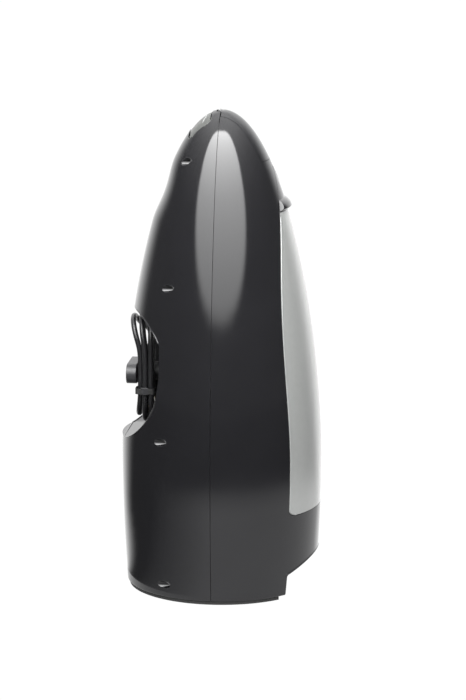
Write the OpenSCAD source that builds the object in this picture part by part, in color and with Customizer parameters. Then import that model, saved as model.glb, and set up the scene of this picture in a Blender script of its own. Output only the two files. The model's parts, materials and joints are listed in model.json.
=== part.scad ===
// Tower juicer: an ogive body with a cord bay at the back and a pull-out juicing drawer in front.
// Millimetres. +X is the front and +Z is up; the origin is the centre of the foot ring, on the table.

/* [Body] */
// Height of the body's apex above the table
body_h = 414; // [412:1:416]
// Largest radius of the body
belly_r = 86.4; // [86:0.1:87]
// Height of the largest radius
belly_z = 120; // [118:1:122]
// How much the radius shrinks from the belly to the foot
foot_taper = 4.4; // [4:0.2:5]
// Exponent of the ogive: larger is blunter
nose_power = 1.65; // [1.6:0.01:1.7]
// Thickness of the outer shells
wall = 2.6; // [2.4:0.1:2.8]
// Height of the shell's lower edge, on the foot ring
shell_z = 3.2; // [3:0.1:3.6]
// Gap between a moving cover and the opening it fills
gap = 0.4; // [0.4:0.05:0.5]

/* [Drawer front] */
// Half width of the arch-shaped front opening
arch_w = 57; // [56:0.5:58]
// Height of the opening's lower edge
arch_low = 73; // [72:1:76]
// Height above which the arch narrows
arch_bend = 100; // [98:1:102]
// Height of the arch's tip
arch_tip = 366; // [362:1:367]
// Height where the silver panel ends and the black brow starts
panel_top = 329.4; // [328:0.2:330]
// Half width of the finger beak
beak_w = 23; // [18:1:24]

/* [Cord bay] */
// Width of the cord bay
bay_w = 136; // [132:1:138]
// Height of the cord bay
bay_h = 111; // [108:1:112]
// Corner radius of the cord bay
bay_r = 42; // [38:1:44]
// Height of the bay's centre
bay_z = 188.5; // [187:0.5:190]
// Position of the bay's inner wall
bay_back = -46; // [-47:0.5:-46]
// Diameter of the mains lead
cord_d = 4.6; // [4.2:0.1:4.8]

/* [Foot] */
// Half width of the arch cut-out in the front of the foot
foot_arch_w = 55; // [50:1:56]
// Height of the cut-out at its middle
foot_arch_h = 32.5; // [29:0.5:33]

/* [Works] */
// Position of the motor and basket axis
axle_x = -4; // [-4:1:-3]
// Radius of the motor shaft
shaft_r = 3; // [2.8:0.1:3.2]
// Outer radius of the juice bowl
bowl_r = 39; // [38:0.5:39]
// Radius of the filter basket
basket_r = 35; // [33:0.5:35]
// Radius of the rounded ends of the feed chute's bore
chute_r = 14; // [13:0.5:14]

/* [Hidden] */

BLACK = [0.05, 0.05, 0.055];
DARK = [0.12, 0.12, 0.13];
SILVER = [0.7, 0.71, 0.7];
GREY = [0.45, 0.46, 0.45];
CLEAR = [0.75, 0.8, 0.82, 0.5];
STEEL = [0.62, 0.63, 0.65];
COPPER = [0.72, 0.42, 0.22];
FAR = 120;
SKIN_Z = [40, 80, 120, 152, 180, 204, 227, 248, 268, 287, 304, 320, 335, 348, 360,
    370.5, 380, 388.5, 396, 402, 406.6, 409.8, 412, 413.3];

// ---- the ogive ----
function skin_r(z) = z < belly_z
    ? belly_r - foot_taper*pow((belly_z - z)/belly_z, 2)
    : belly_r*sqrt(max(0, 1 - pow((z - belly_z)/(body_h - belly_z), nose_power)));
function skin_slope(z) = skin_r(z + 0.5) - skin_r(z - 0.5);
function skin_point(z, inset) = let (s = skin_slope(z), n = sqrt(1 + s*s))
    [skin_r(z) - inset/n, z + inset*s/n];
function skin_outline(inset, low_z) = concat(
    [[0, low_z], [skin_r(low_z) - inset, low_z]],
    [for (z = SKIN_Z) if (z > low_z) skin_point(z, inset)],
    [[0, body_h - inset]]);

module skin_solid(inset = 0, low_z = shell_z) {
    rotate_extrude($fn = 120) polygon(skin_outline(inset, low_z));
}

module skin_shell(outer = 0, inner = wall) {
    difference() {
        skin_solid(outer);
        skin_solid(inner, -5);
    }
}

// ---- helpers ----
// Extrudes an outline drawn in Y and Z along X
module along_x(x0, x1) {
    translate([x0, 0, 0]) rotate([90, 0, 90]) linear_extrude(x1 - x0) children();
}

// Extrudes an outline drawn in X and Z along Y
module along_y(y0, y1) {
    translate([0, y1, 0]) rotate([90, 0, 0]) linear_extrude(y1 - y0) children();
}

module along_z(z0, z1) {
    translate([0, 0, z0]) linear_extrude(z1 - z0) children();
}

module rod_x(x0, x1, r, y = 0, z = 0) {
    translate([x0, y, z]) rotate([0, 90, 0]) cylinder(r = r, h = x1 - x0, $fn = 48);
}

module rod_y(y0, y1, r, x = 0, z = 0) {
    translate([x, y0, z]) rotate([-90, 0, 0]) cylinder(r = r, h = y1 - y0, $fn = 48);
}

module rod_z(z0, z1, r, x = 0, y = 0) {
    translate([x, y, z0]) cylinder(r = r, h = z1 - z0, $fn = 64);
}

module block(low, high) {
    translate(low) cube(high - low);
}

module tube_z(z0, z1, outer, inner, x = 0, y = 0) {
    difference() {
        rod_z(z0, z1, outer, x, y);
        rod_z(z0 - 1, z1 + 1, inner, x, y);
    }
}

module rounded(w, h, r) {
    square([w - 2*r, h], center = true);
    square([w, h - 2*r], center = true);
    for (u = [-1, 1], v = [-1, 1])
        translate([u*(w/2 - r), v*(h/2 - r)]) circle(r = r, $fn = 64);
}

// One closed tube swept along a route of points: rings stand square to the route
function unit(v) = v/norm(v);
function heading(p, i) = unit(p[min(i + 1, len(p) - 1)] - p[max(i - 1, 0)]);
function side_of(t) = unit(cross(t, abs(t[0]) < 0.9 ? [1, 0, 0] : [0, 0, 1]));
function carry(t, s) = unit(s - (s*t)*t);
function sides(p, i = 0, s = undef, done = []) = i == len(p) ? done
    : let (t = heading(p, i), n = is_undef(s) ? side_of(t) : carry(t, s))
        sides(p, i + 1, n, concat(done, [n]));

module swept_tube(p, d, n = 8) {
    s = sides(p);
    rings = [for (i = [0:len(p) - 1], k = [0:n - 1])
        let (t = heading(p, i), a = 360*k/n) p[i] + d/2*(cos(a)*s[i] + sin(a)*cross(t, s[i]))];
    walls = [for (i = [0:len(p) - 2], k = [0:n - 1])
        [i*n + k, (i + 1)*n + k, (i + 1)*n + (k + 1) % n, i*n + (k + 1) % n]];
    last = (len(p) - 1)*n;
    polyhedron(rings, concat(walls,
        [[for (k = [0:n - 1]) k]],
        [[for (k = [n - 1:-1:0]) last + k]]));
}

// ---- outlines ----
// The front arch: straight low sides that narrow to a pointed tip
function arch_half(z) = arch_w*(1 - pow(max(z - arch_bend, 0)/(arch_tip - arch_bend), 3.3));
ARCH_Z = [100, 140, 175, 205, 230, 252, 272, 290, 306, 320, 332, 343, 352, 359.5];
arch_corner = 6;

module arch_outline(inset = 0) {
    c = arch_corner;
    low = arch_low + inset;
    w = arch_w - inset;
    right = concat(
        [for (a = [-90:15:0]) [w - c + c*cos(a), low + c + c*sin(a)]],
        [for (z = ARCH_Z) [arch_half(z) - inset, z]]);
    left = [for (i = [len(right) - 1:-1:0]) [-right[i][0], right[i][1]]];
    polygon(concat(right, [[0, arch_tip - 2*inset]], left));
}

// The lid's plan: narrow at the hinge and wider towards the front
module lid_outline(grow = 0) {
    g = grow;
    polygon([[0.6 - g, -13.2 - g], [14, -14.4 - g], [33, -18.6 - g], [60, -20 - g],
        [60, 20 + g], [33, 18.6 + g], [14, 14.4 + g], [0.6 - g, 13.2 + g]]);
}
lid_edge_z = 372.5;

// The power rocker's plan, behind the apex
module rocker_outline(grow = 0) {
    translate([-17.2, 0]) rounded(17.6 + 2*grow, 34 + 2*grow, 4 + grow);
}

module bay_outline(grow = 0) {
    translate([0, bay_z]) rounded(bay_w + 2*grow, bay_h + 2*grow, bay_r + grow);
}

// The cut-out in the front of the foot: a shallow arc over straight legs
foot_arch_rise = 12;
module foot_arch_outline(grow = 0) {
    w = foot_arch_w;
    arc_r = (w*w + foot_arch_rise*foot_arch_rise)/(2*foot_arch_rise);
    intersection() {
        translate([0, foot_arch_h - arc_r]) circle(r = arc_r + grow, $fn = 180);
        translate([-w - grow, -20]) square([2*(w + grow), foot_arch_h + 40]);
    }
}

module stadium(r, length) {
    square([length, 2*r], center = true);
    for (u = [-1, 1]) translate([u*length/2, 0]) circle(r = r, $fn = 64);
}
chute_x = 14;
module chute_outline(r) {
    translate([chute_x, 0]) stadium(r, 4);
}

// ---- screws that hold the two shells ----
// Each entry: half spacing in Y and height
SCREWS = [[30, 373], [59, 269], [73.5, 139], [71.5, 14]];
well_r = 3.25;
well_floor = -10;
boss_r = 5.2;
module at_screws() {
    for (s = SCREWS, side = [-1, 1]) translate([0, side*s[0], s[1]]) children();
}

// Ribs that join the front shell's bosses to its wall
module boss_ribs() {
    for (s = SCREWS, side = [-1, 1])
        translate([0, side*(s[0] + 10), s[1]]) block([0, -10, -1.5], [12, 10, 1.5]);
}

BASE_SCREW_ANGLES = [60, 120, 240, 300];
base_screw_at = 74.5;
module at_base_screws() {
    for (a = BASE_SCREW_ANGLES) rotate([0, 0, a]) translate([base_screw_at, 0, 0]) children();
}

module base_bosses() {
    at_base_screws() difference() {
        rod_z(6.2, 22, 6.2);
        rod_z(5, 18, 1.55);
    }
}

// ---- housing ----
hinge_x = -1.6;
hinge_z = 412;
knuckle_r = 1.7;
hinge_pin_r = 0.8;

module rear_housing() color(BLACK) difference() {
    union() {
        difference() {
            intersection() {
                union() {
                    skin_shell();
                    intersection() {
                        skin_solid();
                        union() {
                            along_x(-FAR, bay_back + 2.4) bay_outline(2.4);
                            at_screws() rod_x(-FAR, 0, boss_r);
                            base_bosses();
                        }
                    }
                }
                block([-FAR, -FAR, 0], [0, FAR, body_h + 5]);
            }
            along_z(350, body_h + 5) lid_outline(gap);
            block([hinge_x - 2.2, -6, 405], [5, 6, body_h + 5]);
        }
        rod_y(-2.2, 2.2, knuckle_r, hinge_x, hinge_z);
        block([hinge_x - 3.4, -2.2, 409.6], [hinge_x - 0.6, 2.2, hinge_z]);
    }
    along_x(-FAR, bay_back) bay_outline();
    at_screws() rod_x(-FAR, well_floor, well_r);
    at_screws() rod_x(well_floor - 1, 5, 1.7);
    along_z(380, body_h + 5) rocker_outline(1);
    rod_y(-8, 8, hinge_pin_r + 0.02, hinge_x, hinge_z);
    block([bay_back - 1, -4.5, GLAND_Z - 4.5], [bay_back + 8, 4.5, GLAND_Z + 4.5]);
    block([bay_back - 1, -6, bay_z - 9], [bay_back + 8, 6, bay_z + 3]);
}

module front_housing() color(BLACK) difference() {
    intersection() {
        union() {
            skin_shell();
            intersection() {
                skin_solid();
                union() {
                    along_x(54, FAR) foot_arch_outline(2.2);
                    at_screws() rod_x(0, 13, boss_r);
                    boss_ribs();
                    base_bosses();
                }
            }
        }
        block([0, -FAR, 0], [FAR, FAR, body_h + 5]);
    }
    along_x(20, FAR) arch_outline(0);
    along_x(56.2, FAR) foot_arch_outline(0);
    along_z(lid_edge_z - gap, body_h + 5) lid_outline(gap);
    block([-5, -6, 405], [3, 6, body_h + 5]);
    at_screws() rod_x(-1, 10, 1.52);
}

module foot_cut() {
    block([52, -foot_arch_w - 3, -1], [FAR, foot_arch_w + 3, 30]);
}

module base_plate() color(DARK) difference() {
    rod_z(shell_z, 6, 79);
    foot_cut();
    at_base_screws() rod_z(0, 10, 1.7);
    at_base_screws() rod_z(0, 4.6, 3.3);
    for (x = [-30:10:30]) block([x - 1.5, -22, 0], [x + 1.5, 22, 10]);
}

module foot_ring() color(DARK) difference() {
    tube_z(0, shell_z, 80.4, 78);
    foot_cut();
}

module housing_screws() color(STEEL) at_screws() {
    difference() {
        rod_x(well_floor - 2.2, well_floor, 2.9);
        block([well_floor - 3, -2, -0.4], [well_floor - 1.2, 2, 0.4]);
        block([well_floor - 3, -0.4, -2], [well_floor - 1.2, 0.4, 2]);
    }
    rod_x(well_floor, 8, 1.5);
}

module base_screws() color(STEEL) at_base_screws() {
    rod_z(2.8, 4.6, 3);
    rod_z(4.6, 16, 1.5);
}

// ---- inner structure ----
module inner_bulkhead() color(DARK) intersection() {
    skin_solid(wall + 0.2);
    union() {
        block([34.5, -60, 87], [36.5, 60, 207]);
        difference() {
            block([-42, -64, 204], [36.5, 64, 207]);
            rod_z(200, 210, 5, axle_x);
            block([-14, -66, 200], [-6, -57, 210]);
        }
    }
}

module motor_tray() color(DARK) difference() {
    intersection() {
        skin_solid(wall + 0.2);
        block([-80, -80, 84], [36.5, 80, 87]);
    }
    rod_z(80, 90, 5, axle_x);
    for (x = [-62, -52]) rod_z(80, 90, 4, x, 30);
    rod_z(80, 90, 4, -10, -62);
}

MOUNT_ANGLES = [45, 135, 225, 315];
module at_mounts() {
    translate([axle_x, 0, 0])
        for (a = MOUNT_ANGLES) rotate([0, 0, a]) translate([30, 0, 0]) children();
}

module motor_mounts() color(DARK) at_mounts() {
    rod_z(87, 90, 5);
    rod_z(90, 93, 3.6);
}

module lower_bracket() color(STEEL) difference() {
    union() {
        rod_z(93, 95, 36, axle_x);
        tube_z(95, 120, 36, 33.5, axle_x);
        rod_z(95, 99, 11, axle_x);
    }
    rod_z(90, 100, 8, axle_x);
    for (a = [0:60:300]) translate([axle_x, 0, 0]) rotate([0, 0, a + 15])
        block([28, -6, 100], [40, 6, 112]);
}

module upper_bracket() color(STEEL) difference() {
    union() {
        rod_z(193, 195, 36, axle_x);
        tube_z(165, 193, 36, 33.5, axle_x);
        rod_z(189, 193, 11, axle_x);
    }
    rod_z(188, 200, 8, axle_x);
    for (a = [0:60:300]) translate([axle_x, 0, 0]) rotate([0, 0, a + 15])
        block([28, -6, 180], [40, 6, 188]);
}

module stator_core() color(STEEL) difference() {
    rod_z(120, 165, 36, axle_x);
    rod_z(119, 166, 22, axle_x);
    for (s = [-1, 1]) translate([axle_x, 0, 0]) block([-13, s*27 - 3, 119], [13, s*27 + 3, 166]);
}

module field_coils() color(COPPER) for (s = [-1, 1]) translate([axle_x, 0, 0]) {
    block([-12, s*27 - 2.6, 112], [12, s*27 + 2.6, 176]);
}

module brush_holders() color("tan") for (s = [-1, 1]) translate([axle_x, 0, 0]) difference() {
    block([-5, s*23 - 9.5, 179], [5, s*23 + 9.5, 188]);
    block([-3, s*23 - 12, 181], [3, s*23 + 12, 187]);
}

module carbon_brushes() color(DARK) for (s = [-1, 1]) translate([axle_x, 0, 0])
    block([-2.9, s*17 - 6.4, 181.1], [2.9, s*17 + 6.4, 186.9]);

module lower_bearing() color(STEEL) tube_z(93, 98.6, 7.98, shaft_r + 0.03, axle_x);
module upper_bearing() color(STEEL) tube_z(189.4, 195, 7.98, shaft_r + 0.03, axle_x);

module control_board() color("darkgreen") difference() {
    union() {
        block([-40, -26, 12], [20, 26, 13.6]);
        for (x = [-36, 16], y = [-22, 22]) rod_z(6, 12, 3, x, y);
        block([-34, -14, 13.6], [-14, 6, 30]);
        block([0, 4, 13.6], [12, 18, 24]);
    }
    rod_z(10, 15, 2, -10, -22);
}

module capacitor() color("gold") block([-8, -14, 13.6], [12, -4, 26]);

WIRE_ROUTE = [[-10, -22, 13.8], [-10, -26, 22], [-10, -40, 34], [-10, -54, 50], [-10, -62, 70],
    [-10, -62, 90], [-10, -61, 120], [-10, -61, 160], [-10, -61, 195], [-10, -60, 212],
    [-10, -55, 235], [-11, -49, 257], [-12, -48, 275], [-13, -48, 290], [-13, -48, 308],
    [-14, -38, 335], [-15, -26, 360], [-16, -19, 375], [-17, -14.5, 383], [-17, -11.5, 385.8],
    [-17, -9.1, 385.8]];
module wiring() color("darkred") swept_tube(WIRE_ROUTE, 4, 6);

ROCKER_AXIS = [-17.2, 397];
module switch_body() color(DARK) difference() {
    union() {
        block([-23, -9, 380], [-9, 9, 390.5]);
        for (s = [-1, 1]) {
            block([-19.3, s*5.2 - 1.2, 390], [-15.1, s*5.2 + 1.2, ROCKER_AXIS[1]]);
            rod_y(s*5.2 - 1.2, s*5.2 + 1.2, 2.1, ROCKER_AXIS[0], ROCKER_AXIS[1]);
        }
    }
    block([-21, -5, 388], [-11, 5, 392]);
    rod_y(-25, 25, 1.47, ROCKER_AXIS[0], ROCKER_AXIS[1]);
}
module rocker_pin() color(STEEL) rod_y(-13.5, 13.5, 1.45, ROCKER_AXIS[0], ROCKER_AXIS[1]);

module interlock_switch() color(DARK) difference() {
    block([-16, 50, 207], [0, 58, 222]);
    rod_x(-8, 4, 1.6, 54, 217);
}

chute_low = 261;
module feed_chute() color(CLEAR) difference() {
    intersection() {
        skin_solid(wall + 2);
        union() {
            along_z(chute_low, body_h) chute_outline(chute_r + 2);
            intersection() {
                skin_solid(wall + 2.2);
                block([-60, -60, 300], [40, 60, 302.4]);
            }
        }
    }
    along_z(chute_low - 1, body_h) chute_outline(chute_r);
    rod_z(290, 310, 4, -13, -48);
}

module lid_hinge_pin() color(STEEL) rod_y(-5.4, 5.4, hinge_pin_r, hinge_x, hinge_z);

// ---- cord ----
HOOK_Z = 185.5;
GLAND_Z = 203;
module cord_hook() color(DARK) {
    rod_x(-72, bay_back, 8, 0, HOOK_Z);
    translate([0, 0, HOOK_Z]) along_x(-80.5, -72) rounded(46, 17, 8.4);
}

module strain_relief() color(DARK) {
    block([-55.5, -5, 197.5], [bay_back, 5, 208.5]);
    translate([-50.8, 5, GLAND_Z]) rotate([-90, 0, 0])
        cylinder(r1 = 3.9, r2 = cord_d/2 + 0.4, h = 20, $fn = 32);
}

LEAD_ROUTE = [[-50.8, 25, 203], [-50.8, 30, 202.5], [-50.8, 35, 200.4], [-50.8, 39.3, 196.6],
    [-50.8, 42.4, 191], [-50.9, 43.8, 184], [-51.1, 43.4, 176], [-51.5, 41.3, 168],
    [-52.2, 37.4, 160.5], [-53.4, 32, 154], [-55.2, 25.6, 149], [-57.4, 19.5, 146.2],
    [-59, 14, 145.2]];
module cord_lead() color(DARK) swept_tube(LEAD_ROUTE, cord_d);

// The lead is wound in long loops round the hook
hank_low = 167;
hank_high = 214.5;
hank_out = 26;
hank_in = 16.6;
// Side view of the wound lead: its loops lean outwards above and below the hook
HANK_SIDE = [[-56.4, 138], [-77, 138], [-71.2, 172], [-71.2, 199], [-82, 243], [-56.4, 243]];
module hank_outline(r) {
    square_h = hank_high - hank_low;
    translate([0, hank_low]) circle(r = r, $fn = 64);
    translate([0, hank_high]) circle(r = r, $fn = 64);
    translate([-r, hank_low]) square([2*r, square_h]);
}
module cord_hank() color(DARK) intersection() {
    along_x(-90, -50) difference() {
        hank_outline(hank_out);
        hank_outline(hank_in);
    }
    along_y(-40, 40) polygon(HANK_SIDE);
}

module cord_tie() color(DARK) difference() {
    block([-72.2, -27.2, 170], [-55.4, -15.4, 175]);
    block([-71.4, -26.2, 169], [-56.2, -16.4, 176]);
}

PLUG_AT = [-61, 43];
plug_low = 155;
plug_high = 175;
PLUG_ROUTE = [[-61, 43, 190], [-61, 42.9, 196], [-61.3, 41.8, 203], [-62, 39.2, 210], [-63, 35.2, 217],
    [-64.2, 30, 223.4], [-65.8, 24, 229], [-67.4, 17.4, 233.6], [-69, 10, 236.4]];
module plug_lead() color(DARK) swept_tube(PLUG_ROUTE, cord_d);

module plug_body() color(DARK) translate([PLUG_AT[0], PLUG_AT[1], 0]) {
    along_z(plug_low, plug_high) rounded(10, 16, 4);
    translate([0, 0, plug_high]) cylinder(r1 = 4, r2 = cord_d/2 + 0.4, h = 15, $fn = 32);
}

module plug_pins() color("gold") for (s = [-1, 1]) translate([PLUG_AT[0], PLUG_AT[1] + s*5.5, 0])
    block([-3.1, -0.75, plug_low - 13.5], [3.1, 0.75, plug_low]);

// ---- lid, pusher, rocker and interlock ----
module feed_lid() color(BLACK) difference() {
    union() {
        intersection() {
            skin_shell();
            along_z(lid_edge_z, body_h + 5) lid_outline(0);
        }
        for (s = [-1, 1]) {
            rod_y(s*3.95 - 1.45, s*3.95 + 1.45, knuckle_r, hinge_x, hinge_z);
            block([hinge_x, s*3.95 - 1.45, hinge_z - 0.9], [2, s*3.95 + 1.45, hinge_z + 0.9]);
        }
    }
    rod_y(-8, 8, hinge_pin_r + 0.06, hinge_x, hinge_z);
    block([-8, -2.5, 405], [hinge_x + 2.3, 2.5, 420]);
}

pusher_low = 264;
pusher_top = 330;
module pusher() color(CLEAR) difference() {
    union() {
        along_z(pusher_low + 2, pusher_top) chute_outline(chute_r - 0.5);
        along_z(pusher_low, pusher_low + 2) chute_outline(chute_r - 1.5);
    }
    along_z(pusher_low + 5, pusher_top + 1) chute_outline(chute_r - 2.5);
}

module power_rocker() color(GREY) difference() {
    union() {
        intersection() {
            skin_shell(0.8, 3.4);
            along_z(380, body_h + 5) rocker_outline(0);
        }
        for (s = [-1, 1]) intersection() {
            block([-20, s*12 - 1, 393.6], [-14.4, s*12 + 1, 407]);
            skin_solid(2);
        }
    }
    rod_y(-25, 25, 1.5, ROCKER_AXIS[0], ROCKER_AXIS[1]);
}

module interlock_plunger() color("ivory") rod_x(-6, 8, 1.55, 54, 217);

// ---- drawer ----
module front_panel() color(SILVER) intersection() {
    skin_shell();
    along_x(20, FAR) arch_outline(gap);
    block([20, -FAR, 0], [FAR, FAR, panel_top]);
}

BEAK = [[49, 346], [51.8, 343], [55.6, 338.6], [58.6, 335.4], [59.9, 333], [59.4, 331.6],
    [56.5, 330.6], [52, 330], [49, 330]];
module front_handle() color(BLACK) {
    intersection() {
        skin_shell();
        along_x(20, FAR) arch_outline(gap);
        block([20, -FAR, panel_top], [FAR, FAR, body_h]);
    }
    intersection() {
        rotate_extrude($fn = 120) polygon(BEAK);
        along_x(30, FAR) arch_outline(gap);
        block([30, -beak_w, 300], [FAR, beak_w, 350]);
    }
}

module cassette_frame() color(DARK) difference() {
    intersection() {
        skin_solid(wall + 0.1);
        union() {
            block([-42, -45, 208], [44, 45, 211]);
            block([38.5, -52.6, 208], [FAR, 52.6, 211]);
            for (s = [-1, 1]) block([38.5, s*51.7 - 0.9, 75], [FAR, s*51.7 + 0.9, 211]);
            block([38.5, -52.6, 75], [FAR, 52.6, 78]);
            block([12, 44, 208], [44, 48, 214]);
            block([8.5, 46, 208], [18, 52, 221]);
        }
    }
    rod_z(200, 215, 12, axle_x);
    block([-60, -12, 200], [axle_x, 12, 215]);
    block([44, -30, 200], [FAR, 30, 215]);
}

module jug_solid(inset, x0, half, z0, z1) {
    intersection() {
        skin_solid(wall + inset);
        block([x0, -half, z0], [FAR, half, z1]);
    }
}
module juice_jug() color(CLEAR) difference() {
    jug_solid(2.2, 39.6, 49.6, 78.2, 203);
    jug_solid(4.4, 41.8, 47.4, 80.6, 210);
}

module juice_bowl() color(CLEAR) difference() {
    union() {
        rod_z(219, 255, bowl_r, axle_x);
        block([30, -9, 219], [56, 9, 231]);
        for (a = [0, 120, 240]) translate([axle_x, 0, 0]) rotate([0, 0, a])
            translate([32, 0, 0]) rod_z(211, 220, 3);
    }
    difference() {
        rod_z(221.4, 260, bowl_r - 2.4, axle_x);
        tube_z(200, 229, 13.5, 11, axle_x);
    }
    rod_z(215, 225, 11, axle_x);
    block([30, -7, 221.4], [50, 7, 229]);
    block([46, -7, 210], [54, 7, 229]);
}

module bowl_seal() color(DARK) tube_z(255, 256.2, bowl_r, bowl_r - 2.2, axle_x);

module bowl_cover() color(CLEAR) difference() {
    union() {
        rod_z(256.2, 258.4, bowl_r + 0.2, axle_x);
        along_z(254.6, 256.2) translate([axle_x, 0]) circle(r = bowl_r - 2.8, $fn = 64);
    }
    along_z(250, 262) chute_outline(chute_r);
}

// ---- basket ----
module filter_basket() color(STEEL) difference() {
    rod_z(231, 252, basket_r, axle_x);
    rod_z(232.4, 260, basket_r - 1.2, axle_x);
    rod_z(230, 240, 5, axle_x);
    for (a = [0:30:330]) translate([axle_x, 0, 0]) rotate([0, 0, a])
        for (z = [236:4:248]) rod_x(30, 50, 0.9, 0, z);
}

module grating_disc() color(STEEL) difference() {
    union() {
        rod_z(232.4, 233.6, 31, axle_x);
        for (a = [0:24:336], r = [10, 18, 26]) translate([axle_x, 0, 0]) rotate([0, 0, a + 3*r])
            translate([r, 0, 233.4]) cylinder(r1 = 1.4, r2 = 0.2, h = 2.4, $fn = 16);
    }
    rod_z(230, 240, 5, axle_x);
}

module basket_hub() color(DARK) difference() {
    union() {
        rod_z(212.4, 231, 9.4, axle_x);
        rod_z(231, 236, 4.9, axle_x);
    }
    block([-30, -2.6, 210], [30, 2.6, 218.6]);
}

// ---- rotor ----
module motor_shaft() color(STEEL) rod_z(89, 211.5, shaft_r, axle_x);

module armature_core() color(COPPER) {
    difference() {
        rod_z(121, 164, 21.2, axle_x);
        rod_z(110, 170, shaft_r, axle_x);
        for (a = [0:30:330]) translate([axle_x, 0, 0]) rotate([0, 0, a])
            block([17, -1.2, 119], [25, 1.2, 166]);
    }
    for (z = [113, 164]) tube_z(z, z + 8, 17, shaft_r, axle_x);
}

module commutator() color(COPPER) difference() {
    rod_z(177, 188, 10, axle_x);
    rod_z(170, 190, shaft_r, axle_x);
}

module cooling_fan() color(DARK) difference() {
    union() {
        rod_z(100, 101.4, 31, axle_x);
        rod_z(101.4, 111, 6, axle_x);
        for (a = [0:30:330]) translate([axle_x, 0, 0]) rotate([0, 0, a])
            block([5, -0.7, 101.4], [30, 0.7, 110]);
    }
    rod_z(95, 115, shaft_r, axle_x);
}

module drive_coupling() color(DARK) difference() {
    union() {
        rod_z(207.6, 212, 8.6, axle_x);
        translate([axle_x, 0, 0]) block([-8, -2.2, 212], [8, 2.2, 217.8]);
    }
    rod_z(200, 211.5, shaft_r, axle_x);
}

rear_housing();
front_housing();
base_plate();
foot_ring();
housing_screws();
base_screws();
inner_bulkhead();
motor_tray();
motor_mounts();
lower_bracket();
upper_bracket();
stator_core();
field_coils();
brush_holders();
carbon_brushes();
lower_bearing();
upper_bearing();
control_board();
capacitor();
wiring();
switch_body();
rocker_pin();
interlock_switch();
feed_chute();
lid_hinge_pin();
cord_hook();
strain_relief();
cord_lead();
cord_hank();
cord_tie();
plug_lead();
plug_body();
plug_pins();
feed_lid();
pusher();
power_rocker();
interlock_plunger();
front_panel();
front_handle();
cassette_frame();
juice_jug();
juice_bowl();
bowl_seal();
bowl_cover();
filter_basket();
grating_disc();
basket_hub();
motor_shaft();
armature_core();
commutator();
cooling_fan();
drive_coupling();
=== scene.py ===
# Looks for the tower juicer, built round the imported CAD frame. Metres, +X front, +Z up.
import json
import math

import bpy
import numpy as np
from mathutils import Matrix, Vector


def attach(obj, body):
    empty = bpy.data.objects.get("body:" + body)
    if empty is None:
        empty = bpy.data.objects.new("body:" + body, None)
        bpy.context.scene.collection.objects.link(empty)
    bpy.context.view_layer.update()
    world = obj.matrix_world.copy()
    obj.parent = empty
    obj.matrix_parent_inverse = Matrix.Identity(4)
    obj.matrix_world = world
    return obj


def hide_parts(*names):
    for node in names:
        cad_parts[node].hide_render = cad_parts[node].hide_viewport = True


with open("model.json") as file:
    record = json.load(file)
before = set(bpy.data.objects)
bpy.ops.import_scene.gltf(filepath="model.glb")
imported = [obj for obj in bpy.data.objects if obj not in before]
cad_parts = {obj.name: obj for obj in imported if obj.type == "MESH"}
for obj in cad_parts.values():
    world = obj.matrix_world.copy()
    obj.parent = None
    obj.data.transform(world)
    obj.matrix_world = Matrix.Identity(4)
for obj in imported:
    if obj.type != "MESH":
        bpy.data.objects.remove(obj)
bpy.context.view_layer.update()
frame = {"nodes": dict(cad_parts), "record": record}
MM = 0.001

# ---- driving sizes, in millimetres, as in the CAD source ----
BODY_H, BELLY_R, BELLY_Z, FOOT_TAPER, NOSE_POWER = 414.0, 86.4, 120.0, 4.4, 1.65
WALL, SHELL_Z, GAP = 2.6, 3.2, 0.4
ARCH_W, ARCH_LOW, ARCH_BEND, ARCH_TIP, ARCH_CORNER = 57.0, 73.0, 100.0, 366.0, 6.0
PANEL_TOP, BEAK_W = 329.4, 23.0
BAY_W, BAY_H, BAY_R, BAY_Z, BAY_BACK = 136.0, 111.0, 42.0, 188.5, -46.0
FOOT_ARCH_W, FOOT_ARCH_H, FOOT_ARCH_RISE = 55.0, 32.5, 12.0
LID_EDGE_Z = 372.5
HINGE = (-1.6, 412.0)
ROCKER_AXIS, ROCKER_GAP = (-17.2, 397.0), 1.0
SCREWS = [(30, 373), (59, 269), (73.5, 139), (71.5, 14)]
HOOK_Z, GLAND_Z, CORD_D = 185.5, 203.0, 4.6
HANK_LOW, HANK_HIGH = 167.0, 214.5
SEAM = 0.5
WELL_R, BOSS_R = 3.25, 5.2
KNUCKLE_R, LID_KNUCKLE_Y, LID_KNUCKLE_HALF = 1.7, 3.95, 1.45
# Lengths that only have to be long enough, and the steps round the body
FAR, TOP, BELOW = 120.0, BODY_H + 5, -5
ROUND = 256


# ---- the ogive and its normals ----
def skin_r(z):
    """Radius of the body at height z, in millimetres."""
    z = np.asarray(z, float)
    low = BELLY_R - FOOT_TAPER * ((BELLY_Z - z) / BELLY_Z) ** 2
    rise = np.clip((z - BELLY_Z) / (BODY_H - BELLY_Z), 0, 1)
    return np.where(z < BELLY_Z, low, BELLY_R * np.sqrt(1 - rise ** NOSE_POWER))


def skin_slope(z):
    return (skin_r(z + 0.05) - skin_r(z - 0.05)) / 0.1


def grip_dent(points):
    """How far the finger grip behind the neck sinks into the skin, in millimetres."""
    x, y, z = points[:, 0], points[:, 1], points[:, 2]
    height = np.clip(1 - ((z - 347) / 27) ** 2, 0, 1) ** 2
    round_back = np.clip(1 - (np.degrees(np.arctan2(y, -x)) / 62) ** 2, 0, 1) ** 2
    return 2.6 * height * round_back


def skin_field(points, dented):
    """Distance outside the skin, roughly, in millimetres."""
    field = np.hypot(points[:, 0], points[:, 1]) - skin_r(np.minimum(points[:, 2], BODY_H - 0.02))
    return field + grip_dent(points) if dented else field


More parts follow.
